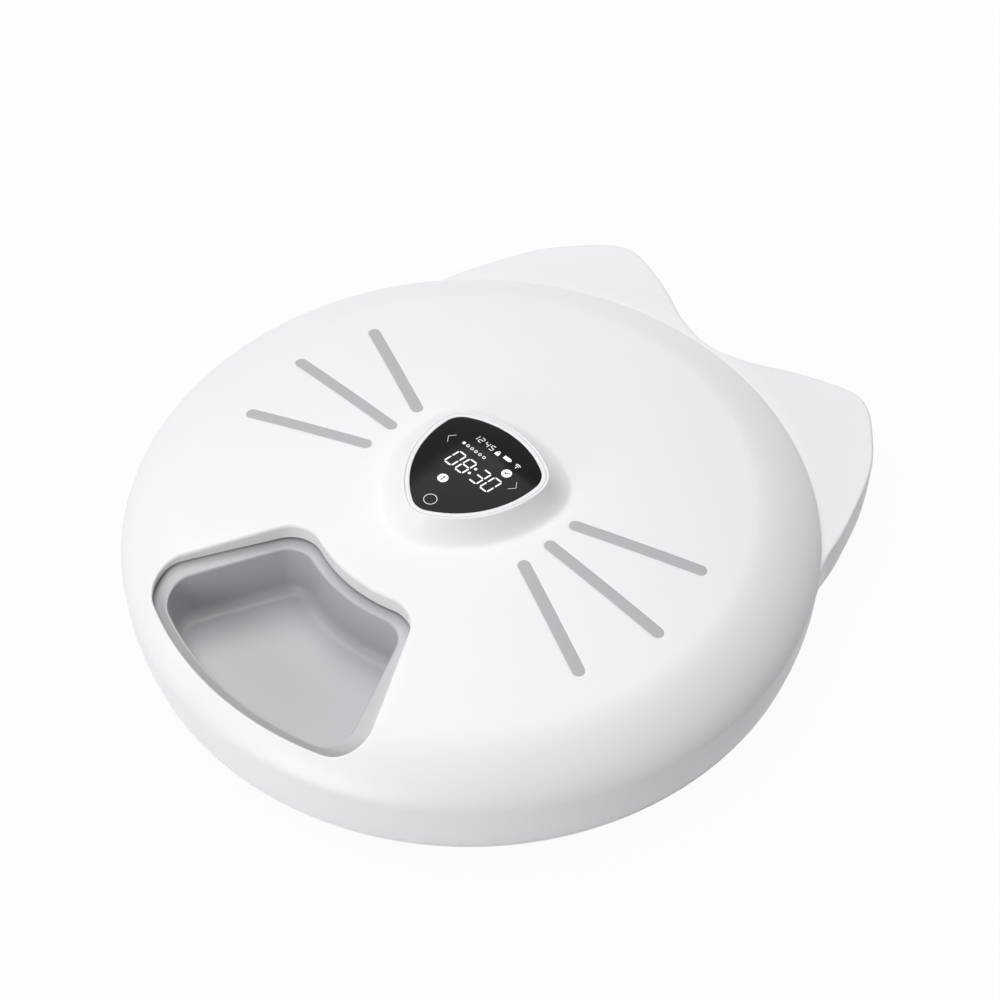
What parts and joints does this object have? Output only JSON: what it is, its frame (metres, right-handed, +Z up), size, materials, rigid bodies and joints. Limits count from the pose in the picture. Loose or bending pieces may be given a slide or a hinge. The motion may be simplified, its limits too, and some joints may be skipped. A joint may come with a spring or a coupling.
{
  "type": "smart pet feeder",
  "caption": "Round rotary pet feeder with two ears, a domed lid with one serving window, a turning tray of food compartments and a raised display.",
  "frame": {"origin": "on the floor below the middle of the overall box; the tray's turning axis passes 15.4 mm in front of it", "axes": "+Z up, +Y to the rear where the ears are, -Y to the front where the serving window is, +X to the right seen from the front"},
  "size_m": [0.332, 0.3628, 0.0687],
  "materials": {
    "white_shell": "satin moulded white ABS",
    "whisker_grey": "fine matt grey inlay",
    "tray_grey": "smooth grey food-safe polypropylene",
    "display_black": "polished black display window",
    "rubber": "matt rubber",
    "nylon": "natural acetal",
    "screw_steel": "zinc-plated steel",
    "spring_steel": "nickel-plated spring steel",
    "motor_steel": "drawn steel can",
    "circuit_board": "solder mask",
    "black_plastic": "fine textured black ABS",
    "cell_wrap": "plain shrink sleeve on a cell",
    "diffuser": "milky diffuser",
    "lead_sleeve": "soft PVC sleeve",
    "magnet": "nickel-plated magnet"
  },
  "bodies": {
    "base": {"base_shell": "white_shell", "bottom_cover": "white_shell", "foot_1": "rubber", "foot_2": "rubber", "foot_3": "rubber", "foot_4": "rubber", "foot_5": "rubber", "foot_6": "rubber", "cover_screw_1": "screw_steel", "cover_screw_2": "screw_steel", "cover_screw_3": "screw_steel", "cover_screw_4": "screw_steel", "cover_screw_5": "screw_steel", "cover_screw_6": "screw_steel", "gear_motor": "motor_steel", "motor_screw_1": "screw_steel", "motor_screw_2": "screw_steel", "display_housing": "white_shell", "display_glass": "display_black", "display_light_guide": "diffuser", "display_board": "circuit_board", "display_ribbon": "lead_sleeve", "main_board": "circuit_board", "board_screw_1": "screw_steel", "board_screw_2": "screw_steel", "board_screw_3": "screw_steel", "board_screw_4": "screw_steel", "buzzer": "black_plastic", "battery_box": "black_plastic", "battery_cell_1": "cell_wrap", "battery_cell_2": "cell_wrap", "battery_cell_3": "cell_wrap", "battery_cell_4": "cell_wrap", "front_contact": "spring_steel", "rear_contact": "spring_steel", "position_sensor": "black_plastic", "inlet_board": "circuit_board", "power_inlet": "motor_steel", "inlet_lead": "lead_sleeve", "sensor_lead": "lead_sleeve", "motor_lead": "lead_sleeve"},
    "carousel": {"carousel_ring": "nylon", "food_tray": "tray_grey", "index_magnet": "magnet"},
    "pinion": {"drive_pinion": "nylon", "motor_shaft": "screw_steel"},
    "lid": {"lid_shell": "white_shell", "whisker_right_rear": "whisker_grey", "whisker_right_middle": "whisker_grey", "whisker_right_front": "whisker_grey", "whisker_left_rear": "whisker_grey", "whisker_left_middle": "whisker_grey", "whisker_left_front": "whisker_grey"},
    "battery_door": {"battery_door": "white_shell"}
  },
  "joints": [
    {"name": "tray_spin", "type": "hinge", "parent": "base", "child": "carousel", "pos_m": [0, -0.01543, 0], "axis": [0, 0, 1], "continuous": true},
    {"name": "pinion_spin", "type": "hinge", "parent": "base", "child": "pinion", "pos_m": [0, 0.03457, 0], "axis": [0, 0, 1], "continuous": true},
    {"name": "lid_lift", "type": "slide", "parent": "base", "child": "lid", "axis": [0, 0, 1], "range_m": [0, 0.12]},
    {"name": "battery_door_slide", "type": "slide", "parent": "base", "child": "battery_door", "axis": [0, 1, 0], "range_m": [0, 0.006]}
  ],
  "couplings": [
    {"joint": "pinion_spin", "follows": "tray_spin", "ratio": 6}
  ]
}
